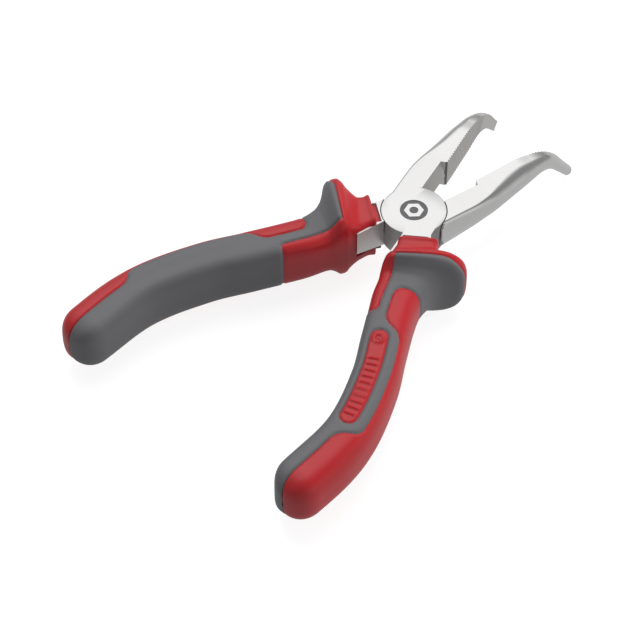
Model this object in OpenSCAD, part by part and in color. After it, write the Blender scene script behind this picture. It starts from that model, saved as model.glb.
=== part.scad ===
// Bent needle nose pliers with a lap joint, side cutters and two-component grips.
// Origin: centre of the joint's underside. +X runs between the jaws, +Z is up through the
// joint. The halves are stored part open, one each side of the XZ plane. Millimetres.

/* [Joint] */
// Thickness of the lap joint over both cheeks
joint_t = 10; // [9:0.5:11]
// Radius of the two round cheeks
joint_r = 9.5; // [9.2:0.1:9.8]
// Angle between the two halves as stored, in degrees
open_angle = 27.5; // [0:0.5:40]
// Gap between the two cheeks
cheek_gap = 0.06; // [0.02:0.02:0.1]
// Gap between a cheek's rim and the other half's shoulder
seam_gap = 0.2; // [0.1:0.05:0.3]

/* [Rivet] */
// Radius of the rivet's shank
rivet_r = 3; // [2.5:0.25:3.5]
// Radius of its countersunk head
head_r = 4.4; // [4:0.1:5]
// Depth of the countersunk head
head_t = 1.4; // [1:0.1:1.6]
// Running clearance of the rivet in the lower half
run_gap = 0.04; // [0.02:0.01:0.1]
// Interference of the rivet in the upper half
press = 0.01; // [0:0.005:0.02]
// Steel left over the rivet's blind end
rivet_cover = 0.8; // [0.5:0.1:1.5]

/* [Jaws] */
// Where a jaw starts, ahead of the pivot
jaw_x0 = 3; // [2:0.5:4]
// Where the tip starts to bend down, ahead of the pivot
bend_x = 40.6; // [38:0.2:44]
// Radius of the bend, on the jaw's middle line
bend_r = 14; // [10:1:18]
// How far the tip bends down, in degrees
bend_angle = 50; // [30:5:60]
// Straight length of the tip past the bend
tip_len = 8.5; // [6:0.5:10]
// Half of the gap left between the closed jaws
jaw_gap = 0.1; // [0.05:0.05:0.2]
// Spacing of the gripping teeth
tooth_pitch = 1.2; // [1:0.1:2]
// Depth of the gripping teeth
tooth_d = 0.35; // [0.2:0.05:0.5]

/* [Cutter] */
// Where the cutting edges end and the teeth begin
cutter_x = 21.6; // [18:0.2:24]
// How far the bevel is set back at the jaw's faces
setback = 2; // [1.4:0.1:2.4]

/* [Tang] */
// Thickness of the tang inside the grip
tang_t = 6.8; // [6:0.2:7.6]
// Half width of the tang where it enters the grip
tang_w = 3.2; // [2.8:0.1:3.4]
// Half width of the tang at its end
tang_end_w = 2.2; // [1.8:0.1:2.6]
// Length of the tang inside the grip
tang_len = 70; // [40:5:75]

/* [Grips] */
// How far the grips' middle plane lies below the joint's
grip_drop = 0.9; // [0:0.1:1.2]
// Thickness of the soft cover
cover_t = 1.6; // [1.2:0.1:2]
// Length of the rounded tail past the end of the grip's middle line
tail_r = 7.6; // [6:0.2:8]
// How far the slot in the collar's inner side goes down from the grip's middle plane
slot_drop = 4.1; // [3.5:0.1:4.5]
// Length of that slot, from the collar's front
slot_l = 7; // [5:0.5:8]
// Free space under the tang, inside the collar
slot_relief = 1.3; // [0.5:0.1:1.4]

/* [Hidden] */
$fn = 96;
mid_z = joint_t / 2;
steel = [0.80, 0.81, 0.82];
rivet_steel = [0.55, 0.56, 0.58];
red = [0.75, 0.20, 0.22];
grey = [0.38, 0.38, 0.40];

// Half height and widths of a jaw, as [distance ahead of the pivot, value]; past the
// bend the distance is measured along the middle line.
jaw_half_h = [[3, 5], [9, 5], [21.6, 4.8], [29.6, 4.7], [35.6, 4.6], [40.6, 3.9],
  [45.6, 3], [49.6, 2.4], [54.6, 1.9], [61.6, 1.6]];
jaw_outer_y = [[3, 9.4], [15, 9.5], [22.4, 9], [29, 7.9], [35, 6.7], [41.4, 5.2],
  [45.6, 4.2], [50, 3.4], [55, 2.9], [61.6, 2.4]];
// Where the flat top ends and the rounded back begins, and the same on the underside
jaw_flat_y = [[3, 8.2], [14.6, 8.1], [20.5, 7.4], [26.6, 5.5], [31.6, 3.8], [36, 2.9],
  [41, 2.3], [46, 1.6], [52, 1], [61.6, 0.7]];
jaw_low_y = [[3, 8.2], [14, 6.5], [22, 3.5], [30, 1.2], [61.6, 0.7]];
// Below 1 the back's upper shoulder is fuller than a quarter ellipse.
shoulder = 0.75;
// The jaw's middle line climbs a little ahead of the cutters.
arch_x = [21.6, 37.6];
arch_rise = 0.75;
bend_len = bend_r * bend_angle * PI / 180;
jaw_end = bend_x + bend_len + tip_len;
// The neck in head_point lengths: its end, the end of its block inside the collar, and
// the block's and the free part's outer sides
neck_s = 11;
block_s = 18;
block_t = 5;
neck_out_t = 5.7;
// Its inner side stays this far from the closing plane when the pliers are shut.
neck_y = 1.3;
// The neck's underside rises to the tang's between these distances behind the pivot.
taper_x = [10, 19];
// The neck's outline goes on round the joint through these points.
neck_root = [[0, 9], [9, neck_out_t]];
neck_in_s = 6;
neck_foot = [[3, 0], [3.6, -8.5]];
teeth_x0 = cutter_x + 1;
teeth_x1 = bend_x + 7;
jaw_arc_steps = 5;

// The grip's middle line in plan. Its first leg leaves the joint along head_dir.
head_angle = 22;
head_dir = [-cos(head_angle), -sin(head_angle)];
head_out = [sin(head_angle), -cos(head_angle)];
grip_pts = [[-10, -6.3], [-18.6, -9.4], [-32.4, -11.2], [-46.4, -14.7], [-59.9, -18.5],
  [-80, -20.8], [-98.8, -17.2]];
grip_steps = 8;

// Grip section along the middle line, as [length from the collar's front, value].
grip_outer = [[0, 6.1], [2, 5.9], [4, 6.3], [5.6, 7.6], [7.2, 10.2], [8.3, 13.2], [9.2, 14.8],
  [10.8, 15], [11.7, 14], [12.6, 11.4], [14, 8.6], [16, 6.8], [19, 6.1], [22, 6.1],
  [50, 6.4], [70, 6.5], [85, 6.8], [99, 6.8]];
grip_inner = [[0, 5.6], [2, 5.9], [4.2, 7.1], [6.7, 8], [8.7, 8.4], [10.7, 8.4], [12.6, 8.3],
  [16, 7.9], [22, 7.5], [30, 6.9], [50, 6.6], [70, 6.7], [85, 7], [99, 6.8]];
grip_half_h = [[0, 7.8], [2, 7.3], [4, 7.4], [5.6, 8.3], [7.2, 9.7], [8.4, 11.1], [9.6, 11.6],
  [11.1, 11.3], [12.1, 10.3], [13.6, 8.8], [15.6, 7.8], [19, 7.5], [25, 7.9], [32, 8.1],
  [60, 8.2], [85, 8.1], [99, 7.9]];
// Squareness of the section's outer and inner halves: 2 is round, more is squarer.
square_outer = [[0, 8], [4, 6], [8, 3.4], [10, 3], [99, 3]];
square_inner = [[0, 8], [6, 6], [10, 4.5], [24, 4.8], [99, 4.8]];
// The guard's rim leans forward by this much for each millimetre outward; the lean
// grows over lean_fade behind the collar's front and is gone again by lean_end.
rim_slant = 0.23;
lean_fade = 7;
lean_end = 20;

// The soft cover's edges: lengths along the grip, and angles round its section.
saddle_u = 10;
insert_u = 19;
strip_u = 29.5;
panel_u = 34.5;
patch_u = 71;
strip_a = 135;
insert_a = 85;
panel_a = 62;
patch_a = 95;
badge_a = 108;
badge_u = [38, 70];
edge = 0.1;
edge_a = 1;
bed_gap = 0.05;
// How far cuts run past what they cut, the inner limit of the room below the neck's
// block, and a place well outside the collar's inner side
cut = 1;
room_t = -2.3;
slot_far_t = -12;

function smooth(t) = let (c = min(max(t, 0), 1)) c * c * (3 - 2 * c);
function signed_pow(v, e) = sign(v) * pow(abs(v), e);
function unit(v) = v / norm(v);

// --- jaw ---

// [x, z, downward angle] of the jaw's middle line at a distance ahead of the pivot
function jaw_line(d) =
  let (
    a = min(max(d - bend_x, 0) / bend_len, 1) * bend_angle,
    past = max(d - bend_x - bend_len, 0)
  )
  d <= bend_x
    ? [d, arch_rise * smooth((d - arch_x[0]) / (arch_x[1] - arch_x[0])), 0]
    : [bend_x + bend_r * sin(a) + past * cos(a),
        arch_rise - bend_r * (1 - cos(a)) - past * sin(a), a];

// One section: [y, height] from the foot of the mating face, up it and over the back
function jaw_section(d, tooth) =
  let (
    h = lookup(d, jaw_half_h),
    face = d < cutter_x ? setback : jaw_gap + tooth,
    mid = d < cutter_x ? jaw_gap : jaw_gap + tooth,
    top = max(lookup(d, jaw_flat_y), face + 0.2),
    low = max(lookup(d, jaw_low_y), face + 0.2),
    back = lookup(d, jaw_outer_y)
  )
  concat(
    [[face, -h], [mid, 0], [face, h]],
    [for (i = [0 : jaw_arc_steps - 1])
      let (a = 90 * i / jaw_arc_steps)
      [top + (back - top) * pow(sin(a), shoulder), h * pow(cos(a), shoulder)]],
    [for (i = [0 : jaw_arc_steps])
      let (a = 90 * i / jaw_arc_steps) [low + (back - low) * cos(a), -h * sin(a)]]
  );

function jaw_ring(d, tooth) =
  let (m = jaw_line(d))
  [for (p = jaw_section(d, tooth)) [m[0] + p[1] * sin(m[2]), p[0], m[1] + p[1] * cos(m[2])]];

function jaw_rings() = concat(
  [for (i = [0 : 7]) jaw_ring(jaw_x0 + (cutter_x - edge - jaw_x0) * i / 7, 0)],
  [jaw_ring(cutter_x + 0.4, 0)],
  [for (i = [0 : 2 * floor((teeth_x1 - teeth_x0) / tooth_pitch)])
    jaw_ring(teeth_x0 + i * tooth_pitch / 2, i % 2 == 0 ? 0 : tooth_d)],
  [for (i = [1 : 7]) jaw_ring(teeth_x1 + (jaw_end - teeth_x1) * i / 7, 0)]
);

// --- grip ---

// Cubic through four points, for a smooth middle line
function hermite(a, b, ta, tb, t) =
  (2 * t ^ 3 - 3 * t ^ 2 + 1) * a + (t ^ 3 - 2 * t ^ 2 + t) * ta
  + (3 * t ^ 2 - 2 * t ^ 3) * b + (t ^ 3 - t ^ 2) * tb;
function leg(i) = norm(grip_pts[i + 1] - grip_pts[i]);
function knot_dir(i) =
  i == 0 ? head_dir
  : i == len(grip_pts) - 1 ? unit(grip_pts[i] - grip_pts[i - 1] + [0, 1.2])
  : unit((grip_pts[i + 1] - grip_pts[i]) / leg(i) + (grip_pts[i] - grip_pts[i - 1]) / leg(i - 1));

grip_line = concat(
  [for (i = [0 : len(grip_pts) - 2]) for (k = [0 : grip_steps - 1])
    hermite(grip_pts[i], grip_pts[i + 1], leg(i) * knot_dir(i), leg(i) * knot_dir(i + 1),
      k / grip_steps)],
  [grip_pts[len(grip_pts) - 1]]
);
function run_lengths(pts, i = 0, total = 0) =
  i == len(pts) - 1 ? [total]
  : concat([total], run_lengths(pts, i + 1, total + norm(pts[i + 1] - pts[i])));
grip_run = run_lengths(grip_line);
grip_len = grip_run[len(grip_run) - 1];
line_x = [for (i = [0 : len(grip_run) - 1]) [grip_run[i], grip_line[i][0]]];
line_y = [for (i = [0 : len(grip_run) - 1]) [grip_run[i], grip_line[i][1]]];
function on_line(u) = [lookup(u, line_x), lookup(u, line_y)];
function line_dir(u) =
  let (c = min(max(u, 1), grip_len - 1)) unit(on_line(c + 1) - on_line(c - 1));

// A width or height brought in by an inset, but never past the middle line
function shrink(v, inset) = max(v - inset, v * (0.4 - 0.1 * inset));

// Forward lean of the surface at a length along the grip, per millimetre outward
function rim_lean(u) = rim_slant * smooth(u / lean_fade) * smooth((lean_end - u) / lean_fade);

// Point on the grip: u along it, a round its section (0 outward, 90 up), inset below it
function grip_point(u, a, inset) =
  let (
    past = max(u - grip_len, 0),
    q = min(past / tail_r, 0.995),
    f = sqrt(1 - pow(q, 2.2)),
    dir = line_dir(u),
    c = on_line(min(u, grip_len)) + dir * past,
    outward = [-dir[1], dir[0]],
    w = shrink((cos(a) > 0 ? lookup(u, grip_outer) : lookup(u, grip_inner)) * f, inset),
    h = shrink(lookup(u, grip_half_h) * pow(f, 0.6), inset),
    e = 2 / (cos(a) > 0 ? lookup(u, square_outer) : lookup(u, square_inner)),
    side = w * signed_pow(cos(a), e),
    plan = c + outward * side - dir * rim_lean(u) * side
  )
  [plan[0], plan[1], h * signed_pow(sin(a), e)];

// Grid lines of the grip's surface, with a close pair at each edge of the cover
function pair(v, gap) = [v - gap, v + gap];
grip_us = concat(
  [0, 2, 4, 5.6, 7.2, 8.3, 9.2], pair(saddle_u, edge), [10.8, 11.7, 12.6, 14, 16.2],
  pair(insert_u, edge),
  [22.5, 26], pair(strip_u, edge), [32], pair(panel_u, edge), pair(badge_u[0], edge),
  [for (u = [42 : 4 : 66]) u], pair(badge_u[1], edge), pair(patch_u, edge),
  [for (u = [75 : 4 : 87]) u], [grip_len],
  [for (a = [15, 30, 45, 60, 72, 84]) grip_len + tail_r * sin(a)]
);
half_angles = concat(
  [15, 30, 45], pair(panel_a, edge_a), [74], pair(insert_a, edge_a), pair(patch_a, edge_a),
  pair(badge_a, edge_a), [122], pair(strip_a, edge_a), [150, 165]
);
ring_angles = concat([0], half_angles, [180], [for (i = [len(half_angles) - 1 : -1 : 0]) -half_angles[i]]);

// Whether the soft cover lies over a point of the grip; badge_side is 1 for a badge on
// top of the grip and -1 for one underneath
function covered(u, a, badge_side) =
  let (b = abs(a))
  u > saddle_u && u < insert_u ? b < strip_a
  : u > insert_u && u < strip_u ? b > insert_a && b < strip_a
  : u > strip_u && u < panel_u ? b > insert_a
  : u > panel_u && u < patch_u
    ? b > panel_a && !(a * badge_side > insert_a && a * badge_side < badge_a
        && u > badge_u[0] && u < badge_u[1])
  : u > patch_u && b > patch_a;

function grip_grid(inset) = [for (u = grip_us) for (a = ring_angles) grip_point(u, a, inset)];

function core_rings(badge_side) =
  [for (u = grip_us) [for (a = ring_angles)
    grip_point(u, a, covered(u, a, badge_side) ? cover_t + bed_gap : 0)]];

// --- solids from rings ---

// Closed solid through rings of points; clockwise rings run towards the first ring's back
module skin(rings, clockwise) {
  n = len(rings[0]);
  last = len(rings) - 1;
  quads = [for (i = [0 : last - 1]) for (j = [0 : n - 1])
    let (k = (j + 1) % n)
    clockwise
      ? [i * n + j, i * n + k, (i + 1) * n + k, (i + 1) * n + j]
      : [i * n + j, (i + 1) * n + j, (i + 1) * n + k, i * n + k]];
  triangles = [for (q = quads) each [[q[0], q[1], q[2]], [q[0], q[2], q[3]]]];
  forward = [for (j = [0 : n - 1]) j];
  back = [for (j = [n - 1 : -1 : 0]) j];
  first_cap = clockwise ? back : forward;
  last_cap = [for (j = clockwise ? forward : back) last * n + j];
  polyhedron([for (r = rings) each r], concat(triangles, [first_cap, last_cap]), convexity = 8);
}

// --- steel halves, drawn as the half whose jaw lies on the +Y side, closed ---

// A point at length s towards the grip and t outward from there
function head_point(s, t) = s * head_dir + t * head_out;

// Place t of the neck's inner side at a length s
function neck_t(s) = (neck_y - s * sin(head_angle)) / cos(head_angle);

// Upright block between lengths s, places t outward and heights z; its inner side's
// place may differ at the two ends
module head_block(s, t, z) {
  corners = [[s[0], t[0]], [s[0], t[1]], [s[1], t[1]], [s[1], len(t) > 2 ? t[2] : t[0]]];
  translate([0, 0, z[0]])
    linear_extrude(z[1] - z[0])
      polygon([for (c = corners) head_point(c[0], c[1])]);
}

// The stretch as thick as the joint: its free part, then the part inside the collar
module neck() {
  line = concat(neck_root,
    [[neck_s, neck_out_t], [neck_s, neck_t(neck_s)], [neck_in_s, neck_t(neck_in_s)]]);
  linear_extrude(joint_t, center = true)
    polygon(concat([for (p = line) head_point(p[0], p[1])], neck_foot));
  head_block([neck_s - cut, block_s], [neck_t(neck_s - cut), block_t, neck_t(block_s)],
    [-joint_t / 2, joint_t / 2]);
}

// Steel taken off the neck's underside
module neck_taper() {
  rotate([90, 0, 0])
    linear_extrude(4 * joint_r, center = true)
      polygon([[-taper_x[0], -joint_t / 2], [-taper_x[0], -joint_t / 2 - cut],
        [-taper_x[1], -joint_t / 2 - cut], [-taper_x[1], -tang_t / 2]]);
}

module tang_outline(start) {
  us = [for (u = [start : 5 : tang_len]) u];
  width = [for (u = us) tang_w + (tang_end_w - tang_w) * max(u, 0) / tang_len];
  function off(i, side) =
    let (d = line_dir(us[i])) on_line(max(us[i], 0)) + min(us[i], 0) * head_dir
      + side * width[i] * [-d[1], d[0]];
  polygon(concat(
    [for (i = [0 : len(us) - 1]) off(i, 1)],
    [for (i = [len(us) - 1 : -1 : 0]) off(i, -1)]));
}

module tang() {
  linear_extrude(tang_t, center = true) tang_outline(-1);
}

module half_blank() {
  skin(jaw_rings(), true);
  difference() {
    neck();
    neck_taper();
  }
  tang();
}

module rivet_shape(gap) {
  top = joint_t / 2 - rivet_cover;
  rotate_extrude()
    polygon([[0, -joint_t / 2 - gap], [head_r + gap, -joint_t / 2 - gap],
      [head_r + gap, -joint_t / 2], [rivet_r + gap, -joint_t / 2 + head_t],
      [rivet_r + gap, top], [0, top]]);
}

module upper_half_steel() {
  relief_r = joint_r + seam_gap;
  difference() {
    union() {
      half_blank();
      cylinder(r = joint_r, h = joint_t / 2);
    }
    translate([0, 0, -joint_t]) cylinder(r = relief_r, h = joint_t + cheek_gap / 2);
    translate([0, 0, -1]) cylinder(r = rivet_r - press, h = joint_t / 2 - rivet_cover + 1);
  }
}

module lower_half_steel() {
  relief_r = joint_r + seam_gap;
  difference() {
    union() {
      half_blank();
      translate([0, 0, -joint_t / 2]) cylinder(r = joint_r, h = joint_t / 2);
    }
    translate([0, 0, -cheek_gap / 2]) cylinder(r = relief_r, h = joint_t);
    rivet_shape(run_gap);
  }
}

// --- grip pieces, for the same half ---

// Slot in the collar's inner side that shows the neck, and the room below the block
module collar_slot() {
  under = joint_t / 2 - grip_drop + slot_relief;
  head_block([neck_s - 2 * cut, neck_s + slot_l], [slot_far_t, 0],
    [-slot_drop, joint_t / 2 + grip_drop]);
  head_block([neck_s - cut, neck_s + slot_l], [room_t, block_t], [-under, 0]);
}

module grip_core(badge_side) {
  difference() {
    skin(core_rings(badge_side), false);
    translate([0, 0, grip_drop]) {
      neck();
      tang();
    }
    collar_slot();
  }
}

// Shell of the covered cells of the grip's grid: outer skin, inner skin and edge walls
module grip_cover(badge_side) {
  n = len(ring_angles);
  last = len(grip_us) - 1;
  deep = n * len(grip_us);
  on = [for (u = grip_us) [for (a = ring_angles) covered(u, a, badge_side)]];
  function next(j) = (j + 1) % n;
  function cell(i, j) =
    i >= 0 && i < last && on[i][j] && on[i][next(j)] && on[i + 1][j] && on[i + 1][next(j)];
  function outer_quad(i, j) =
    [i * n + j, (i + 1) * n + j, (i + 1) * n + next(j), i * n + next(j)];
  function wall(a, b) = [[b, a, a + deep], [b, a + deep, b + deep]];
  faces = [for (i = [0 : last - 1]) for (j = [0 : n - 1]) if (cell(i, j))
    let (q = outer_quad(i, j))
    each concat(
      [[q[0], q[1], q[2]], [q[0], q[2], q[3]]],
      [[deep + q[2], deep + q[1], deep + q[0]], [deep + q[3], deep + q[2], deep + q[0]]],
      cell(i, (j + n - 1) % n) ? [] : wall(q[0], q[1]),
      cell(i + 1, j) ? [] : wall(q[1], q[2]),
      cell(i, next(j)) ? [] : wall(q[2], q[3]),
      cell(i - 1, j) ? [] : wall(q[3], q[0])
    )];
  polyhedron(concat(grip_grid(0), grip_grid(cover_t)), faces, convexity = 10);
}

// --- the two halves in their places, a steel part or a part of the grip ---

module upper_side(drop = 0) {
  translate([0, 0, mid_z - drop]) rotate(open_angle / 2) children();
}

module lower_side(drop = 0) {
  translate([0, 0, mid_z - drop]) rotate(-open_angle / 2) mirror([0, 1, 0]) children();
}

module upper_arm() {
  color(steel) upper_side() upper_half_steel();
}

module lower_arm() {
  color(steel) lower_side() lower_half_steel();
}

module pivot_rivet() {
  color(rivet_steel) translate([0, 0, mid_z]) rivet_shape(0);
}

module upper_grip_core() {
  color(red) upper_side(grip_drop) grip_core(1);
}

module upper_grip_cover() {
  color(grey) upper_side(grip_drop) grip_cover(1);
}

module lower_grip_core() {
  color(red) lower_side(grip_drop) grip_core(-1);
}

module lower_grip_cover() {
  color(grey) lower_side(grip_drop) grip_cover(-1);
}

upper_arm();
lower_arm();
pivot_rivet();
upper_grip_core();
upper_grip_cover();
lower_grip_core();
lower_grip_cover();
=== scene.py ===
"""Bent needle nose pliers: the steel halves, rivet and two-component grips around the CAD frame.

Lengths are in millimetres in the joint's frame (origin on the pivot axis at the joint's
underside, +X towards the tips, +Z up) until put_mesh() turns them into metres.
"""
from math import cos, hypot, pi, radians, sin, sqrt

import bmesh
import bpy
import numpy as np
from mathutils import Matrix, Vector


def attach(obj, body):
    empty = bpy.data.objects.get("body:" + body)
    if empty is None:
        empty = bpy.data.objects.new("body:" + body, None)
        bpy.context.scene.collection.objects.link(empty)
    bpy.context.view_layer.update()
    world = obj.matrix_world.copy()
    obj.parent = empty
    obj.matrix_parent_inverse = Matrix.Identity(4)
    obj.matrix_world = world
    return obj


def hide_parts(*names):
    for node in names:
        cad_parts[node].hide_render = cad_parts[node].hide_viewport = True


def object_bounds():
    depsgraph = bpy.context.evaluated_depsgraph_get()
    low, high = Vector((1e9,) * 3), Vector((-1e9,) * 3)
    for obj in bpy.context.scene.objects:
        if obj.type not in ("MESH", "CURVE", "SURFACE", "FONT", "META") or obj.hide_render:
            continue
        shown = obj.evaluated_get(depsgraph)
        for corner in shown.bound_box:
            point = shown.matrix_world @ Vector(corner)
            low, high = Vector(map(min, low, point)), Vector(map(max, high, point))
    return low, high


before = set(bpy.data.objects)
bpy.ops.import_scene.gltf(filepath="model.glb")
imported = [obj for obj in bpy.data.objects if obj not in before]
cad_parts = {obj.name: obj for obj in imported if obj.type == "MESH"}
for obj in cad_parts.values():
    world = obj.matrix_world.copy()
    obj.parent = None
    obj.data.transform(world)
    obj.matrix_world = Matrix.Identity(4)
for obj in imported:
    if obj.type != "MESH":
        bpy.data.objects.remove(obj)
cad_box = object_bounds()

MM = 0.001
BODIES = {"upper": "upper_half", "lower": "lower_half"}

# ---------------------------------------------------------------- driving sizes, as in the CAD
JOINT_T = 10.0
JOINT_R = 9.5
OPEN_ANGLE = 27.5
CHEEK_GAP = 0.06
SEAM_GAP = 0.2
RIVET_R = 3.0
HEAD_R = 4.4
HEAD_T = 1.4
RUN_GAP = 0.04
RIVET_COVER = 0.8
JAW_X0 = 3.0
BEND_X = 40.6
BEND_R = 14.0
BEND_ANGLE = radians(50)
TIP_LEN = 8.5
JAW_GAP = 0.1
CUTTER_X = 21.6
SETBACK = 2.0
TOOTH_PITCH = 1.0
TOOTH_D = 0.3
TANG_T = 6.8
COVER_T = 1.6
TAIL_R = 7.6
GRIP_DROP = 0.9
SLOT_DROP = 4.1
SLOT_L = 7.0
SLOT_RELIEF = 1.3
NECK_S = 11.0
BLOCK_S = 18.0
NECK_Y = 1.3
NECK_TAPER = (10.0, 19.0)
NECK_OUT_T = 5.7
BLOCK_T = 5.0
ROOM_T = -2.3
MID_Z = JOINT_T / 2

HEAD_ANGLE = radians(22)
HEAD_DIR = np.array([-cos(HEAD_ANGLE), -sin(HEAD_ANGLE)])
HEAD_OUT = np.array([sin(HEAD_ANGLE), -cos(HEAD_ANGLE)])


def head_point(s, t):
    """Point in plan at length s from the pivot towards the grip, t outward from there."""
    return s * HEAD_DIR + t * HEAD_OUT


def neck_t(s):
    """Place across the neck of its inner side, which is parallel to the closing plane."""
    return (NECK_Y - s * sin(HEAD_ANGLE)) / cos(HEAD_ANGLE)


def smooth(t):
    """0 below 0, 1 above 1, and a soft step between."""
    c = np.clip(t, 0, 1)
    return c * c * (3 - 2 * c)


def curve(points):
    """Monotone cubic through (x, value) points, as a function of an array."""
    x, y = (np.array(c, float) for c in zip(*points))
    h, slope = np.diff(x), np.diff(y) / np.diff(x)
    m = np.zeros_like(x)
    for i in range(1, len(x) - 1):
        if slope[i - 1] * slope[i] > 0:
            a, b = 2 * h[i] + h[i - 1], h[i] + 2 * h[i - 1]
            m[i] = (a + b) / (a / slope[i - 1] + b / slope[i])

    def value(q):
        q = np.clip(np.asarray(q, float), x[0], x[-1])
        i = np.clip(np.searchsorted(x, q) - 1, 0, len(h) - 1)
        t = (q - x[i]) / h[i]
        return ((2 * t**3 - 3 * t**2 + 1) * y[i] + (t**3 - 2 * t**2 + t) * h[i] * m[i]
                + (3 * t**2 - 2 * t**3) * y[i + 1] + (t**3 - t**2) * h[i] * m[i + 1])
    return value


# ---------------------------------------------------------------- meshes
def put_mesh(name, verts, faces):
    """New object from vertices in millimetres."""
    mesh = bpy.data.meshes.new(name)
    points = (np.asarray(verts, float) * MM).tolist()
    mesh.from_pydata(points, [], [list(map(int, f)) for f in faces])
    mesh.update()
    obj = bpy.data.objects.new(name, mesh)
    bpy.context.scene.collection.objects.link(obj)
    return obj


def loft_faces(rings, n):
    """Faces of a tube of rings with n points each, with both ends closed."""
    faces = [(i * n + j, (i + 1) * n + j, (i + 1) * n + (j + 1) % n, i * n + (j + 1) % n)
             for i in range(rings - 1) for j in range(n)]
    faces.append(tuple(range(n)))
    faces.append(tuple((rings - 1) * n + j for j in reversed(range(n))))
    return faces


def fix_normals(obj, merge=0.001):
    """Merges points closer than merge mm and turns all faces outward."""
    bm = bmesh.new()
    bm.from_mesh(obj.data)
    bmesh.ops.remove_doubles(bm, verts=bm.verts, dist=merge * MM)
    bmesh.ops.recalc_face_normals(bm, faces=bm.faces)
    bm.to_mesh(obj.data)
    bm.free()
    return obj


def prism(name, outline, z0, z1):
    """Upright prism over a plan outline."""
    n = len(outline)
    verts = [(x, y, z) for z in (z0, z1) for x, y in outline]
    return fix_normals(put_mesh(name, verts, loft_faces(2, n)))


def cylinder(name, r, z0, z1, steps=192):
    """Upright cylinder about the pivot axis, or a regular prism with few steps."""
    circle = [(r * cos(2 * pi * i / steps), r * sin(2 * pi * i / steps)) for i in range(steps)]
    return prism(name, circle, z0, z1)


def apply_modifiers(obj):
    dg = bpy.context.evaluated_depsgraph_get()
    mesh = bpy.data.meshes.new_from_object(obj.evaluated_get(dg))
    obj.modifiers.clear()
    obj.data = mesh
    return obj


def boolean(obj, tool, operation):
    """Joins obj with a tool object or cuts it by one. The tool is used up."""
    mod = obj.modifiers.new("boolean", "BOOLEAN")
    mod.operation = operation
    mod.solver = "EXACT"
    mod.object = tool
    apply_modifiers(obj)
    bpy.data.objects.remove(tool)
    return obj


def shade(obj, angle):
    """Smooth shading, with edges sharper than angle kept sharp."""
    mesh = obj.data
    mesh.polygons.foreach_set("use_smooth", [True] * len(mesh.polygons))
    mesh.set_sharp_from_angle(angle=radians(angle))
    return obj


def place(obj, side, drop=0.0):
    """Turns a piece drawn for the closed +Y-jaw half into its place in one of the halves."""
    n = len(obj.data.vertices)
    co = np.empty(n * 3)
    obj.data.vertices.foreach_get("co", co)
    co = co.reshape(-1, 3)
    a = radians(OPEN_ANGLE / 2)
    if side == "lower":
        co[:, 1] *= -1
        a = -a
    x, y = co[:, 0].copy(), co[:, 1].copy()
    co[:, 0] = cos(a) * x - sin(a) * y
    co[:, 1] = sin(a) * x + cos(a) * y
    co[:, 2] += (MID_Z - drop) * MM
    obj.data.vertices.foreach_set("co", co.ravel())
    if side == "lower":
        obj.data.flip_normals()
    obj.data.update()
    return obj


# ---------------------------------------------------------------- steel halves
# Along the jaw, ahead of the pivot: half height, back, end of the flat top and of the flat
# underside, and the fullness of the upper shoulder (1 is a quarter ellipse)
half_h = curve([(3, 5), (9, 5), (21.6, 4.8), (29.6, 4.7), (35.6, 4.6), (40.6, 3.9), (45.6, 3),
                (49.6, 2.4), (54.6, 1.9), (61.6, 1.6)])
outer_y = curve([(3, 9.4), (15, 9.5), (22.4, 9), (29, 7.9), (35, 6.7), (41.4, 5.2),
                 (45.6, 4.2), (50, 3.4), (55, 2.9), (61.6, 2.4)])
flat_y = curve([(3, 8.2), (14.6, 8.1), (20.5, 7.2), (26.6, 5), (31.6, 3.3), (36, 2.6),
                (41, 2.3), (46, 1.6), (52, 1), (61.6, 0.7)])
flat_low_y = curve([(3, 8.2), (14, 6.5), (22, 3.5), (30, 1.2), (61.6, 0.7)])
shoulder = curve([(3, 0.75), (16, 0.8), (26, 1), (61.6, 1.05)])
BEND_LEN = BEND_R * BEND_ANGLE
JAW_END = BEND_X + BEND_LEN + TIP_LEN
# Start, end and height of the middle line's rise
ARCH = (21.6, 37.6, 0.75)
TEETH = (CUTTER_X + 0.9, BEND_X + 7)
TIP_ROUND = 0.5
# Rounded rim of the joint's outer faces, and how far its middle stands in
RIM_SOFT = 0.3
RIM_CUT = 0.09
# Ends of the neck's outline beside the joint, as (s, t), and below it, as (x, y)
NECK_ROOT = ((0, 9), (9, NECK_OUT_T))
NECK_IN_S = 6
NECK_FOOT = [(3, 0), (3.6, -8.5)]
# Etched mark: its field, its depth, the nut's corners and hole
EMBLEM_R = 4.05
EMBLEM_DEPTH = 0.12
NUT_R = 2.9
NUT_HOLE_R = 1.3
# Round notch at the end of the cutting edges
NOTCH_R = 0.7
NOTCH_X = CUTTER_X - 0.1
# Points along a section's mating face (each half), its flats and each quarter of its back
FACE_STEPS, FLAT_STEPS, ARC_STEPS = 7, 5, 16


def jaw_line(d):
    """x, z and downward angle of the jaw's middle line at a distance ahead of the pivot."""
    if d <= BEND_X:
        return d, ARCH[2] * float(smooth((d - ARCH[0]) / (ARCH[1] - ARCH[0]))), 0.0
    a = min((d - BEND_X) / BEND_LEN, 1) * BEND_ANGLE
    past = max(d - BEND_X - BEND_LEN, 0)
    return (BEND_X + BEND_R * sin(a) + past * cos(a),
            ARCH[2] - BEND_R * (1 - cos(a)) - past * sin(a), a)


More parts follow.
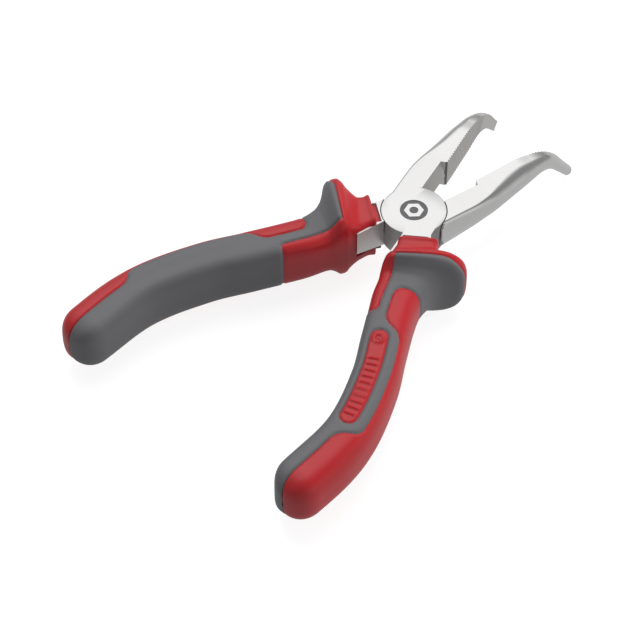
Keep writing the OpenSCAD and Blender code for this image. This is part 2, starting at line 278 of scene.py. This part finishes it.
def jaw_section(d, tooth, shrink):
    """One closed section, from the foot of the mating face up it and over the back."""
    h = float(half_h(d)) - shrink
    cutter = d < CUTTER_X
    face = (SETBACK if cutter else JAW_GAP + tooth) + shrink
    mid = (JAW_GAP if cutter else JAW_GAP + tooth) + shrink
    top = max(float(flat_y(d)), face + 0.25)
    low = max(float(flat_low_y(d)), face + 0.25)
    back = max(float(outer_y(d)) - shrink, top + 0.2)
    bow = float(shoulder(d))
    n = FACE_STEPS
    points = [(face + (mid - face) * k / n, -h + h * k / n) for k in range(n)]
    points += [(mid + (face - mid) * k / n, h * k / n) for k in range(n)]
    points += [(face + (top - face) * k / FLAT_STEPS, h) for k in range(FLAT_STEPS)]
    for k in range(ARC_STEPS):
        a = pi / 2 * k / ARC_STEPS
        points.append((top + (back - top) * sin(a) ** bow, h * cos(a) ** bow))
    for k in range(ARC_STEPS + 1):
        a = pi / 2 * k / ARC_STEPS
        points.append((low + (back - low) * cos(a), -h * sin(a)))
    points += [(low + (face - low) * k / FLAT_STEPS, -h) for k in range(1, FLAT_STEPS)]
    return points


def jaw_mesh(name):
    """The jaw as a loft: cutter, toothed face with a ridge each pitch, bend and tip."""
    stations = [(d, 0.0, 0.0) for d in np.linspace(JAW_X0, CUTTER_X - 0.12, 40)]
    stations.append((CUTTER_X + 0.3, 0.0, 0.0))
    d = TEETH[0]
    while d < TEETH[1]:
        depth = TOOTH_D * float(smooth((TEETH[1] - d) / 4))
        for part, tooth in ((0.0, 0.0), (0.22, depth), (0.5, depth), (0.72, 0.0)):
            stations.append((d + TOOTH_PITCH * part, tooth, 0.0))
        d += TOOTH_PITCH
    last = stations[-1][0]
    stations += [(x, 0.0, 0.0) for x in np.linspace(last + 0.4, JAW_END - TIP_ROUND, 40)]
    stations += [(JAW_END - TIP_ROUND * (1 - sin(a)), 0.0, TIP_ROUND * (1 - cos(a)))
                 for a in np.linspace(0.25, pi / 2, 7)]
    verts = []
    for d, tooth, shrink in stations:
        x, z, a = jaw_line(d)
        section = jaw_section(d, tooth, shrink)
        verts += [(x + h * sin(a), y, z + h * cos(a)) for y, h in section]
    return fix_normals(put_mesh(name, verts, loft_faces(len(stations), len(section))))


def neck_mesh():
    """The neck and its block, as thick as the joint, with an underside that rises."""
    half = JOINT_T / 2
    line = NECK_ROOT + ((NECK_S, NECK_OUT_T), (NECK_S, BLOCK_T), (BLOCK_S, BLOCK_T),
                        (BLOCK_S, neck_t(BLOCK_S)), (NECK_IN_S, neck_t(NECK_IN_S)))
    neck = prism("neck", [head_point(s, t) for s, t in line] + NECK_FOOT, -half, half)
    x0, x1 = NECK_TAPER
    wedge = [(-x0, -half), (-x0, -half - 1), (-x1, -half - 1), (-x1, -TANG_T / 2)]
    verts = [(x, y, z) for y in (-20, 20) for x, z in wedge]
    return boolean(neck, fix_normals(put_mesh("taper", verts, loft_faces(2, 4))), "DIFFERENCE")


def half_steel(side):
    """One forging: jaw, cheek, neck and the block that goes into the collar."""
    upper = side == "upper"
    half, r = JOINT_T / 2, JOINT_R
    arm = boolean(jaw_mesh("blank"), neck_mesh(), "UNION")
    rim = [(0, 0), (r, 0), (r, half - RIM_SOFT), (r - RIM_CUT, half - RIM_CUT),
           (r - RIM_SOFT, half), (0, half)]
    if not upper:
        rim = [(q, -z) for q, z in rim]
    boolean(arm, turned("cheek", rim, 192), "UNION")
    relief = (-JOINT_T, CHEEK_GAP / 2) if upper else (-CHEEK_GAP / 2, JOINT_T)
    boolean(arm, cylinder("relief", JOINT_R + SEAM_GAP, *relief), "DIFFERENCE")
    if upper:
        bore = cylinder("bore", RIVET_R, -1, half - RIVET_COVER, 96)
    else:
        bore = rivet_mesh("bore", RUN_GAP)
    boolean(arm, bore, "DIFFERENCE")
    notch = cylinder("notch", NOTCH_R, -JOINT_T, JOINT_T, 48)
    notch.location = (NOTCH_X * MM, 0, 0)
    boolean(arm, notch, "DIFFERENCE")
    if upper:
        engrave_emblem(arm)
    return arm


def engrave_emblem(arm):
    """Plain etched mark on the joint's face: a hexagon nut in a round field."""
    z0, z1 = JOINT_T / 2 - EMBLEM_DEPTH, JOINT_T / 2 + 1
    field = cylinder("field", EMBLEM_R, z0, z1, 96)
    boolean(field, cylinder("nut", NUT_R, z0 - 1, z1 + 1, 6), "DIFFERENCE")
    boolean(arm, field, "DIFFERENCE")
    boolean(arm, cylinder("hole", NUT_HOLE_R, z0, z1, 48), "DIFFERENCE")


def turned(name, profile, steps=128):
    """Solid of revolution about Z; the profile's first and last radius are 0."""
    rings = [[(r * cos(2 * pi * i / steps), r * sin(2 * pi * i / steps), z) for i in range(steps)]
             for r, z in profile[1:-1]]
    verts = [p for ring in rings for p in ring]
    return fix_normals(put_mesh(name, verts, loft_faces(len(rings), steps)))


def rivet_mesh(name, gap):
    """The rivet with its head's edge rounded or, with a gap, the bore it runs in."""
    half = JOINT_T / 2
    blind = half - RIVET_COVER
    profile = [(0, -half - gap), (HEAD_R + gap, -half - gap), (HEAD_R + gap, -half),
               (RIVET_R + gap, -half + HEAD_T), (RIVET_R + gap, blind), (0, blind)]
    if gap == 0:
        profile[1:3] = [(HEAD_R - 0.15, -half), (HEAD_R - 0.04, -half + 0.04),
                        (HEAD_R - 0.1, -half + 0.2)]
    return turned(name, profile)


# ---------------------------------------------------------------- grips
# The middle line in plan, then along it from the collar's front: outer and inner half
# width, half height, and squareness of the outer and inner halves (2 is round)
GRIP_PTS = np.array([(-10, -6.3), (-18.6, -9.4), (-32.4, -11.2), (-46.4, -14.7), (-59.9, -18.5),
                     (-80, -20.8), (-98.8, -17.2)])
grip_outer = curve([(0, 6.1), (2, 5.9), (4, 6.3), (5.6, 7.6), (7.2, 10.2), (8.3, 13.2), (9.2, 14.8),
                    (10.8, 15), (11.7, 14), (12.6, 11.4), (14, 8.6), (16, 6.8), (19, 6.1),
                    (22, 6.1), (50, 6.4), (70, 6.5), (85, 6.8), (99, 6.8)])
grip_inner = curve([(0, 5.6), (2, 5.9), (4.2, 7.1), (6.7, 8), (8.7, 8.4), (10.7, 8.4), (12.6, 8.3),
                    (16, 7.9), (22, 7.5), (30, 6.9), (50, 6.6), (70, 6.7), (85, 7), (99, 6.8)])
grip_half_h = curve([(0, 7.8), (2, 7.3), (4, 7.4), (5.6, 8.3), (7.2, 9.7), (8.4, 11.1), (9.6, 11.6),
                     (11.1, 11.3), (12.1, 10.3), (13.6, 8.8), (15.6, 7.8), (19, 7.5),
                     (25, 7.9), (32, 8.1), (60, 8.2), (85, 8.1), (99, 7.9)])
square_outer = curve([(0, 8), (4, 6), (8, 3.4), (10, 3), (13, 3), (99, 3)])
square_inner = curve([(0, 8), (6, 6), (10, 4.5), (24, 4.8), (99, 4.8)])
# The guard's rim leans forward; the lean grows and fades over LEAN_FADE, up to LEAN_END
RIM_SLANT = 0.23
LEAN_FADE = 7
LEAN_END = 20
# Points round the grip's section, taken evenly from a dense outline
RING = 192
DENSE_RING = 2881


def rim_lean(u):
    """How far each millimetre outward carries the surface forward at length u."""
    return RIM_SLANT * smooth(u / LEAN_FADE) * smooth((LEAN_END - u) / LEAN_FADE)


def grip_path():
    """Middle line in plan as dense arrays: length, x, y. Cubic legs between the knots."""
    legs = np.diff(GRIP_PTS, axis=0)
    length = np.hypot(*legs.T)
    unit = legs / length[:, None]
    last = legs[-1] + (0, 1.2)
    dirs = [HEAD_DIR] + [(a + b) / np.hypot(*(a + b)) for a, b in zip(unit, unit[1:])]
    dirs.append(last / np.hypot(*last))
    t = np.linspace(0, 1, 60, endpoint=False)[:, None]
    points = [(2 * t**3 - 3 * t**2 + 1) * GRIP_PTS[i] + (t**3 - 2 * t**2 + t) * length[i] * dirs[i]
              + (3 * t**2 - 2 * t**3) * GRIP_PTS[i + 1] + (t**3 - t**2) * length[i] * dirs[i + 1]
              for i in range(len(legs))]
    points = np.vstack(points + [GRIP_PTS[-1:]])
    run = np.concatenate([[0], np.cumsum(np.hypot(*np.diff(points, axis=0).T))])
    return run, points


PATH_RUN, PATH_POINTS = grip_path()
GRIP_LEN = PATH_RUN[-1]


def on_path(u):
    return np.stack([np.interp(u, PATH_RUN, PATH_POINTS[:, k]) for k in (0, 1)], -1)


def path_dir(u):
    c = np.clip(u, 1, GRIP_LEN - 1)
    d = on_path(c + 1) - on_path(c - 1)
    return d / np.hypot(d[..., 0], d[..., 1])[..., None]


def grip_rings(u_values):
    """The grip's surface as a grid: points, and for each point its length u, its lateral
    place v from the middle line (outward positive, before the tail closes) and its height."""
    a = np.linspace(0, 2 * pi, DENSE_RING)
    points, us, vs, zs = [], [], [], []
    for u in u_values:
        past = max(u - GRIP_LEN, 0)
        f = sqrt(max(1 - min(past / TAIL_R, 0.9995) ** 2.2, 1e-4))
        co, si = np.cos(a), np.sin(a)
        out = co > 0
        e = np.where(out, 2 / square_outer(u), 2 / square_inner(u))
        v = np.where(out, grip_outer(u), grip_inner(u)) * np.sign(co) * np.abs(co) ** e
        z = grip_half_h(u) * f**0.6 * np.sign(si) * np.abs(si) ** e
        run = np.concatenate([[0], np.cumsum(np.hypot(np.diff(v * f), np.diff(z)))])
        t = np.linspace(0, run[-1], RING, endpoint=False)
        v, z = np.interp(t, run, v), np.interp(t, run, z)
        base = on_path(min(u, GRIP_LEN)) + path_dir(u) * past
        d = path_dir(u)
        outward = np.array([-d[1], d[0]])
        plan = base + outward * (v * f)[:, None] - d * (rim_lean(u) * v)[:, None]
        points.append(np.column_stack([plan, z]))
        us.append(np.full(RING, u))
        vs.append(v)
        zs.append(z)
    return np.array(points), np.array(us), np.array(vs), np.array(zs)


def softmin(a, b, k):
    """Smaller of two distances, with the corner rounded over k."""
    h = np.maximum(k - np.abs(a - b), 0) / k
    return np.minimum(a, b) - h * h * k / 4


def softmax(a, b, k):
    """Larger of two distances, with the corner rounded over k."""
    return -softmin(-a, -b, k)


# Inner edge of the red on the palm side near the collar
strip_v = curve([(9, 5), (14, 4.5), (18, 4.1), (24, 3.9), (40, 3.9)])


def half_plane(u, v, u0, v0, angle):
    """Distance past a line through (u0, v0); angle 0 faces +u, 90 faces +v, in degrees."""
    return (u - u0) * cos(radians(angle)) + (v - v0) * sin(radians(angle))


# The badge's ends, its middle line's v and its half width; the collar's end
BADGE = (37.0, 71.6, -1.3, 2.6)
COLLAR_U = 10
# The badge's relief: height, the ribs' first and last place and pitch, and the ring's centre
RELIEF = 0.34
RIBS = (46.5, 69.6, 2.3)
RING_U = 40.6


def cover_field(u, v, z, badge_side):
    """Signed distance to the edge of the soft cover, in mm: positive where the cover lies."""
    plain = smooth((-z * badge_side + 1.5) / 3)  # 1 on the face without a badge
    # the thumb insert, which runs on as the outer strip, and the tail
    insert = softmax(19.8 - u, -1.2 + 0.9 * plain - v, 3.2)
    insert = softmax(insert, half_plane(u, v, 35.2, 1.6, -38), 2.0)
    outer_strip = softmax(4.5 - v, 33 - u, 0.5)
    tail = softmax(half_plane(u, v, 74.0, 1.8, 205), -1.5 + 1.9 * plain - v, 3.0)
    red_out = softmin(softmin(insert, outer_strip, 2.2), tail, 2.0)
    # the palm side's strip, and the collar with the guard's front
    red_in = softmax(u - 30.0, v + strip_v(u), 1.6)
    collar = u - COLLAR_U - 0.8 * smooth((v - 9) / 5)
    badge = badge_field(u, v, z, badge_side)
    return np.minimum(np.minimum(red_out, red_in), np.minimum(collar, badge))


def badge_field(u, v, z, badge_side):
    """Signed distance to the badge's edge, negative on the badge."""
    u0, u1, v0, r = BADGE
    along = np.clip(u, u0 + r, u1 - r)
    d = np.hypot(u - along, v - v0) - r
    return np.where(z * badge_side > 0, d, 50.0)


def grid_normals(p):
    """Outward unit normals of the grip's grid of points."""
    du = np.gradient(p, axis=0)
    da = np.roll(p, -1, axis=1) - np.roll(p, 1, axis=1)
    n = np.cross(da, du)
    return n / np.maximum(np.linalg.norm(n, axis=2), 1e-9)[..., None]


def clip_cells(values, keep_positive):
    """Splits the grid's cells along values = 0. Returns polygons as lists of vertex keys: (i, j)
    for a grid point, or ((i, j), (k, l), t) for a point t of the way along an edge."""
    n = values.shape[1]
    s = 1 if keep_positive else -1
    polygons = []
    for i in range(values.shape[0] - 1):
        for j in range(n):
            k = (j + 1) % n
            corners = [(i, j), (i + 1, j), (i + 1, k), (i, k)]
            f = [s * values[c] for c in corners]
            if min(f) > 0:
                polygons.append(corners)
                continue
            if max(f) <= 0:
                continue
            poly = []
            for m in range(4):
                a, b, fa, fb = corners[m], corners[(m + 1) % 4], f[m], f[(m + 1) % 4]
                if fa > 0:
                    poly.append(a)
                if (fa > 0) != (fb > 0):
                    lo, hi, flo, fhi = (a, b, fa, fb) if a < b else (b, a, fb, fa)
                    poly.append((lo, hi, round(flo / (flo - fhi), 4)))
            if len(poly) >= 3:
                polygons.append(poly)
    return polygons


# Rounding of the collar's front edge, least distance of the cut from a grid point (so that
# no sliver faces form), depth of the groove along the cover's edge, swell of the cover
# beyond it, and the gap under the cover
FRONT_ROUND = 0.7
LEAST = 0.07
GROOVE = 0.4
SWELL = 0.1
BED_GAP = 0.02


def grip_levels():
    """Lengths at which the grip's rings lie, closest together at the collar and guard."""
    front = FRONT_ROUND * (1 - np.cos(np.linspace(0.35, pi / 2, 6)))
    tail = GRIP_LEN + TAIL_R * np.sin(np.linspace(0.04, pi / 2, 30))
    return np.concatenate([front, np.arange(1.0, 14, 0.25), np.arange(14, GRIP_LEN, 0.45), tail])


def badge_relief(u, v, z, badge_side):
    """Height of the badge's raised cross ribs, ring and dot over its plate."""
    v0, r = BADGE[2:]
    first, last, pitch = RIBS
    on = smooth((r - 0.75 - np.abs(v - v0)) / 0.25) * (z * badge_side > 0)
    ribs = np.abs((u - first) % pitch - pitch / 2) - 0.42
    ends = smooth((u - first + 0.2) / 0.3) * smooth((last - u) / 0.3)
    rib = smooth(-ribs / 0.22) * ends
    centre = np.hypot(u - RING_U, v - v0)
    ring = smooth((0.5 - np.abs(centre - 1.45)) / 0.35)
    dot = smooth((0.55 - centre) / 0.35)
    return RELIEF * on * np.maximum(rib, np.maximum(ring, dot))


def grip_pieces(side):
    """The hard core and the soft cover of one grip."""
    badge_side = 1 if side == "upper" else -1
    p, u, v, z = grip_rings(grip_levels())
    lip = np.clip(1 - u / FRONT_ROUND, 0, 1)
    inset = FRONT_ROUND * (1 - np.sqrt(np.maximum(1 - lip**2, 0)))
    field = cover_field(u, v, z, badge_side)
    field = np.where(np.abs(field) < LEAST, np.where(field < 0, -LEAST, LEAST), field)
    normal = grid_normals(p)
    near = np.abs(field)
    groove = GROOVE * np.exp(-((near / 0.32) ** 2))
    swell = SWELL * smooth(near / 1.2)
    thick = (COVER_T * tail_fade(u))[..., None]
    core_top = p + normal * (badge_relief(u, v, z, badge_side) - groove - inset)[..., None]
    cover_top = p + normal * (swell - groove)[..., None]
    bed = p - normal * (thick + BED_GAP)
    core = shell_solid(f"{side}_grip_core_skin", field, core_top, bed, False, True)
    under = p - normal * thick
    cover = shell_solid(f"{side}_grip_cover_skin", field, cover_top, under, True, False)
    return core, cover


def tail_fade(u):
    """The cover's thickness as a part of the full one: it thins out over the tail's end."""
    return 1 - 0.75 * smooth((u - GRIP_LEN) / TAIL_R)


def shell_solid(name, field, top, bottom, keep_positive, closed):
    """Solid over the kept side of the field. An open piece has its own underside; a closed one
    goes on under the other piece's area at the bottom level, and is capped at both ends."""
    index, verts, faces = {}, [], []

    def vertex(key, layer):
        full = (key, layer)
        if full not in index:
            grid = top if layer == 0 else bottom
            if isinstance(key[0], tuple):
                a, b, t = key
                point = grid[a] * (1 - t) + grid[b] * t
            else:
                point = grid[key]
            index[full] = len(verts)
            verts.append(point)
        return index[full]

    kept = clip_cells(field, keep_positive)
    edges = {}
    for poly in kept:
        faces.append([vertex(k, 0) for k in poly])
        for m in range(len(poly)):
            a, b = poly[m], poly[(m + 1) % len(poly)]
            if (b, a) in edges:
                del edges[(b, a)]
            else:
                edges[(a, b)] = True
    rings, n = field.shape
    if closed:
        for poly in clip_cells(field, not keep_positive):
            faces.append([vertex(k, 1) for k in poly])
        walls = [(a, b) for a, b in edges if isinstance(a[0], tuple) and isinstance(b[0], tuple)]
        ends = []
        for i in (0, rings - 1):
            ring = []
            for j in range(n):
                ring.append(vertex((i, j), 0 if (field[i, j] > 0) == keep_positive else 1))
            ends.append(ring)
        faces.append(ends[0])
        faces.append(ends[1][::-1])
    else:
        for poly in kept:
            faces.append([vertex(k, 1) for k in reversed(poly)])
        walls = list(edges)
    for a, b in walls:
        faces.append([vertex(b, 0), vertex(a, 0), vertex(a, 1), vertex(b, 1)])
    return fix_normals(put_mesh(name, verts, faces), 0.04)


def grip(side):
    """The two pieces of a grip, the core with its slot and the room below the neck's block."""
    core, cover = grip_pieces(side)
    near, far = NECK_S - 1, NECK_S + SLOT_L
    roof = JOINT_T / 2 + GRIP_DROP + BED_GAP
    floor_z = -(MID_Z - GRIP_DROP + SLOT_RELIEF)
    slot = [head_point(s, t) for s, t in ((near - 1, 2), (far, 2), (far, -12), (near - 1, -12))]
    boolean(core, prism("slot", slot, -SLOT_DROP, roof), "DIFFERENCE")
    out_t = BLOCK_T + BED_GAP
    room_ends = ((near, out_t), (far, out_t), (far, ROOM_T), (near, ROOM_T))
    room = [head_point(s, t) for s, t in room_ends]
    boolean(core, prism("room", room, floor_z, roof), "DIFFERENCE")
    for obj in (core, cover):
        shade(obj, 40)
        place(obj, side, GRIP_DROP)
    return core, cover


# ---------------------------------------------------------------- materials
def srgb(r, g, b):
    """Linear colour from 0-255 screen values."""
    def lin(c):
        c /= 255
        return c / 12.92 if c <= 0.04045 else ((c + 0.055) / 1.055) ** 2.4
    return (lin(r), lin(g), lin(b), 1)


class Nodes:
    """Short way to write a node tree."""

    def __init__(self, name):
        self.material = bpy.data.materials.new(name)
        self.material.use_nodes = True
        self.tree = self.material.node_tree
        self.shader = self.tree.nodes["Principled BSDF"]

    def add(self, kind, inputs=None, **settings):
        node = self.tree.nodes.new(kind)
        for key, value in settings.items():
            setattr(node, key, value)
        for key, value in (inputs or {}).items():
            if isinstance(value, bpy.types.NodeSocket):
                self.tree.links.new(value, node.inputs[key])
            else:
                node.inputs[key].default_value = value
        return node

    def set(self, **inputs):
        for key, value in inputs.items():
            socket = self.shader.inputs[key.replace("_", " ")]
            if isinstance(value, bpy.types.NodeSocket):
                self.tree.links.new(value, socket)
            else:
                socket.default_value = value

    def coords(self, scale=(1, 1, 1), turn=0.0):
        where = self.add("ShaderNodeTexCoord")
        mapping = self.add("ShaderNodeMapping", {"Vector": where.outputs["Object"]})
        mapping.inputs["Scale"].default_value = scale
        mapping.inputs["Rotation"].default_value = (0, 0, turn)
        return mapping.outputs["Vector"]

    def noise(self, scale, detail=3, vector=None, roughness=0.55):
        inputs = {"Scale": scale, "Detail": detail, "Roughness": roughness}
        inputs["Vector"] = vector or self.coords()
        return self.add("ShaderNodeTexNoise", inputs).outputs["Fac"]

    def ramp(self, value, low, high, out_low, out_high):
        inputs = {0: value, 1: low, 2: high, 3: out_low, 4: out_high}
        node = self.add("ShaderNodeMapRange", inputs)
        return node.outputs[0]

    def mix(self, factor, a, b):
        node = self.add("ShaderNodeMix", {"Factor": factor}, data_type="RGBA")
        for key, value in ((6, a), (7, b)):
            if isinstance(value, bpy.types.NodeSocket):
                self.tree.links.new(value, node.inputs[key])
            else:
                node.inputs[key].default_value = value
        return node.outputs[2]

    def bump(self, height, strength, distance, normal=None):
        inputs = {"Height": height, "Strength": strength, "Distance": distance}
        if normal is not None:
            inputs["Normal"] = normal
        return self.add("ShaderNodeBump", inputs).outputs["Normal"]

    def edges(self, low=0.52, high=0.62):
        """1 on convex edges and 0 elsewhere, or the same in hollows with low above high."""
        geometry = self.add("ShaderNodeNewGeometry")
        return self.ramp(geometry.outputs["Pointiness"], low, high, 0, 1)


def polished_steel(name, turn):
    """Ground and polished steel with fine cross grinding lines."""
    m = Nodes(name)
    lines = m.noise(5200, 2, m.coords((1, 0.06, 1), turn))
    patches = m.noise(160, 4)
    m.set(Metallic=1.0, Base_Color=m.mix(patches, srgb(232, 231, 231), srgb(242, 241, 240)))
    m.set(Roughness=m.ramp(patches, 0.3, 0.7, 0.22, 0.3))
    m.set(Normal=m.bump(lines, 0.5, 0.000004, m.bump(patches, 0.3, 0.000008)))
    return m.material


def ground_steel(name):
    """Darker satin steel of the mating faces and cutters."""
    m = Nodes(name)
    lines = m.noise(3600, 2, m.coords((1, 1, 0.06)))
    m.set(Metallic=1.0, Base_Color=m.mix(lines, srgb(216, 215, 212), srgb(240, 238, 235)))
    m.set(Roughness=m.ramp(lines, 0.3, 0.7, 0.34, 0.5))
    m.set(Normal=m.bump(lines, 0.6, 0.00001))
    return m.material


def forged_steel(name):
    """Unpolished sides of the joint, neck and tang."""
    m = Nodes(name)
    grain = m.noise(260, 4)
    m.set(Metallic=1.0, Base_Color=m.mix(grain, srgb(150, 150, 150), srgb(188, 188, 188)))
    m.set(Roughness=m.ramp(grain, 0.3, 0.7, 0.42, 0.58))
    m.set(Normal=m.bump(grain, 0.3, 0.00005))
    return m.material


def etched_and_shadow_steel(name):
    """Floor of the etched mark, and painted shadow in the notch: dark, matt and finely grained."""
    m = Nodes(name)
    grain = m.noise(3000, 3)
    m.set(Metallic=1.0, Base_Color=m.mix(grain, srgb(128, 128, 130), srgb(160, 160, 162)))
    m.set(Roughness=0.6, Normal=m.bump(grain, 0.4, 0.00002))
    return m.material


def red_plastic(name):
    """Hard satin plastic: fine moulded grain, painted edge highlight, painted groove shade."""
    m = Nodes(name)
    fine = m.noise(1800, 2)
    cloud = m.noise(60, 3)
    base = m.mix(cloud, srgb(180, 26, 34), srgb(190, 34, 41))
    # painted highlight: convex edges (by pointiness) lighter red, where the light catches them
    base = m.mix(m.edges(), base, srgb(199, 48, 54))
    # painted shade: hollows and grooves (by pointiness) dark red
    m.set(Base_Color=m.mix(m.edges(0.47, 0.41), base, srgb(96, 18, 24)))
    m.set(Roughness=m.ramp(cloud, 0.3, 0.7, 0.36, 0.46), Specular_IOR_Level=0.65)
    m.set(Normal=m.bump(fine, 0.08, 0.00004))
    return m.material


def grey_rubber(name):
    """Matt thermoplastic rubber with a fine speckled grain."""
    m = Nodes(name)
    fine = m.noise(2400, 2)
    cloud = m.noise(70, 4)
    base = m.mix(cloud, srgb(98, 98, 101), srgb(112, 112, 115))
    # painted highlight: convex edges (by pointiness) lighter grey, where the light catches them
    base = m.mix(m.edges(), base, srgb(116, 116, 119))
    # painted shade: hollows and grooves (by pointiness) near black
    m.set(Base_Color=m.mix(m.edges(0.47, 0.41), base, srgb(40, 38, 40)))
    m.set(Roughness=m.ramp(cloud, 0.3, 0.7, 0.48, 0.6), Specular_IOR_Level=0.7)
    m.set(Normal=m.bump(fine, 0.16, 0.00006))
    return m.material


def finish(obj, body, nodes, materials):
    """Materials, body and replaced nodes of a finished piece."""
    for material in materials:
        obj.data.materials.append(material)
    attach(obj, body)
    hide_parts(*nodes)


RED = red_plastic("red_plastic_satin")
GREY = grey_rubber("grey_rubber_soft")
GROUND = ground_steel("steel_ground")
FORGED = forged_steel("steel_forged")
ETCHED_AND_SHADOW = etched_and_shadow_steel("steel_etched_and_shadow")


def build_half(side):
    """One steel arm and its grip."""
    body = BODIES[side]
    turn = radians(OPEN_ANGLE / 2) * (1 if side == "upper" else -1)
    arm = half_steel(side)
    arm.name = f"{side}_arm_steel"
    paint_steel(arm)
    shade(arm, 30)
    place(arm, side)
    polished = polished_steel(f"steel_polished_{side}", -turn)
    finish(arm, body, [f"{side}_arm"], [polished, GROUND, FORGED, ETCHED_AND_SHADOW])
    core, cover = grip(side)
    finish(core, body, [f"{side}_grip_core"], [RED])
    finish(cover, body, [f"{side}_grip_cover"], [GREY])


def steel_kind(c, n):
    """Material of a face with centre c, in millimetres, and normal n: 0 polished, 1 ground,
    2 forged, 3 etched or in shadow."""
    r = hypot(c.x, c.y)
    if 9 < c.x < CUTTER_X + 0.2 and abs(n.x) > 0.8:  # step behind the cutting edge
        return 1
    # the notch's walls take the dark etched steel as painted shadow
    if abs(hypot(c.x - NOTCH_X, c.y) - NOTCH_R) < 0.1 and abs(n.z) < 0.3:  # notch
        return 3
    if r < EMBLEM_R + 0.1 and 3 < c.z < JOINT_T / 2 - 0.02:  # mark on the joint
        return 3
    if c.x < -9.4 and n.y > 0.5:  # inner side of the neck
        return 1
    if c.x > 9 and n.y < -0.5 and c.y < 2.3:  # mating face and cutter bevels
        return 1
    if c.x < 9.5 and abs(n.z) < 0.5 and r < JOINT_R + 0.5:  # sides of the joint
        return 2
    if r < JOINT_R + 0.3 and abs(c.z) < 1:  # inner faces of the lap joint
        return 2
    return 0


def paint_steel(arm):
    for poly in arm.data.polygons:
        poly.material_index = steel_kind(poly.center / MM, poly.normal)


for side in BODIES:
    build_half(side)

rivet = shade(place(rivet_mesh("pivot_rivet_turned", 0), "upper"), 30)
finish(rivet, "upper_half", ["pivot_rivet"], [GROUND])


# ---------------------------------------------------------------- floor, light and camera
FLOOR_Z = min(cad_box[0].z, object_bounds()[0].z)
floor_mesh = bpy.data.meshes.new("floor")
corners = [(x, y, FLOOR_Z) for x, y in ((-3, -3), (3, -3), (3, 3), (-3, 3))]
floor_mesh.from_pydata(corners, [], [(0, 1, 2, 3)])
floor = bpy.data.objects.new("floor", floor_mesh)
bpy.context.scene.collection.objects.link(floor)
floor_look = Nodes("floor_paper")
floor_look.set(Base_Color=(0.3, 0.3, 0.3, 1), Roughness=0.9, Specular_IOR_Level=0.0)
floor_look.set(Emission_Color=(1, 1, 1, 1), Emission_Strength=0.85)
floor.data.materials.append(floor_look.material)
floor.visible_diffuse = False
floor.visible_glossy = False


# Directions of the soft box and of the paler card on the right, from the object
SOFT_BOX = (0.55, 0.6, 0.58)
SIDE_CARD = (0.14, -0.98, 0.1)


def area_light(name, place_m, size, watts):
    """Soft box aimed at the joint."""
    lamp = bpy.data.lights.new(name, "AREA")
    lamp.shape = "SQUARE"
    lamp.size = size
    lamp.energy = watts
    obj = bpy.data.objects.new(name, lamp)
    obj.location = place_m
    obj.rotation_euler = Vector(place_m).to_track_quat("Z", "Y").to_euler()
    bpy.context.scene.collection.objects.link(obj)
    return obj


area_light("right_box", (0.85, -0.8, 0.35), 0.6, 8).visible_glossy = False
area_light("top_box", (0.3, 0.35, 1.1), 0.8, 7).visible_glossy = False


def studio_world():
    """Dim dome with one broad soft box behind the object, and the grey of a table below."""
    world = bpy.data.worlds.new("studio")
    world.use_nodes = True
    tree = world.node_tree
    background = tree.nodes["Background"]

    def math(operation, a, b):
        node = tree.nodes.new("ShaderNodeMath")
        node.operation = operation
        for socket, value in zip(node.inputs, (a, b)):
            if isinstance(value, bpy.types.NodeSocket):
                tree.links.new(value, socket)
            else:
                socket.default_value = value
        return node.outputs[0]

    def step(value, low, high):
        node = tree.nodes.new("ShaderNodeMapRange")
        node.interpolation_type = "SMOOTHSTEP"
        tree.links.new(value, node.inputs["Value"])
        node.inputs["From Min"].default_value = low
        node.inputs["From Max"].default_value = high
        return node.outputs[0]

    where = tree.nodes.new("ShaderNodeTexCoord")
    split = tree.nodes.new("ShaderNodeSeparateXYZ")
    tree.links.new(where.outputs["Generated"], split.inputs[0])
    x, y, z = split.outputs
    level = math("ADD", math("MULTIPLY", x, SOFT_BOX[0]), math("MULTIPLY", y, SOFT_BOX[1]))
    toward = math("ADD", level, math("MULTIPLY", z, SOFT_BOX[2]))
    box = math("MULTIPLY", step(toward, 0.55, 0.95), step(z, 0.1, 0.75))
    sky = math("ADD", math("MULTIPLY", box, 0.85), 0.25)
    right = math("ADD", math("MULTIPLY", x, SIDE_CARD[0]), math("MULTIPLY", y, SIDE_CARD[1]))
    card = step(math("ADD", right, math("MULTIPLY", z, SIDE_CARD[2])), 0.86, 0.98)
    sky = math("ADD", sky, math("MULTIPLY", card, 0.42))
    table = math("ADD", math("MULTIPLY", level, 0.12), 0.5)
    table = math("ADD", table, math("MULTIPLY", card, 0.2))
    above = step(z, -0.05, 0.0)
    light = math("ADD", math("MULTIPLY", sky, above),
                 math("MULTIPLY", table, math("SUBTRACT", 1.0, above)))
    tree.links.new(light, background.inputs["Strength"])
    background.inputs["Color"].default_value = (1, 1, 1, 1)
    return world


bpy.context.scene.world = studio_world()
bpy.context.scene.view_settings.view_transform = "Standard"

camera_data = bpy.data.cameras.new("camera")
camera_data.lens = 142.0
camera_data.sensor_width = 36.0
camera_data.clip_start = 0.01
camera_data.clip_end = 20
camera = bpy.data.objects.new("camera", camera_data)
camera.location = (-0.3834, -0.3081, 0.5302)
camera.rotation_euler = (radians(90 - 49.07), 0, radians(-47.9))
bpy.context.scene.collection.objects.link(camera)
bpy.context.scene.camera = camera
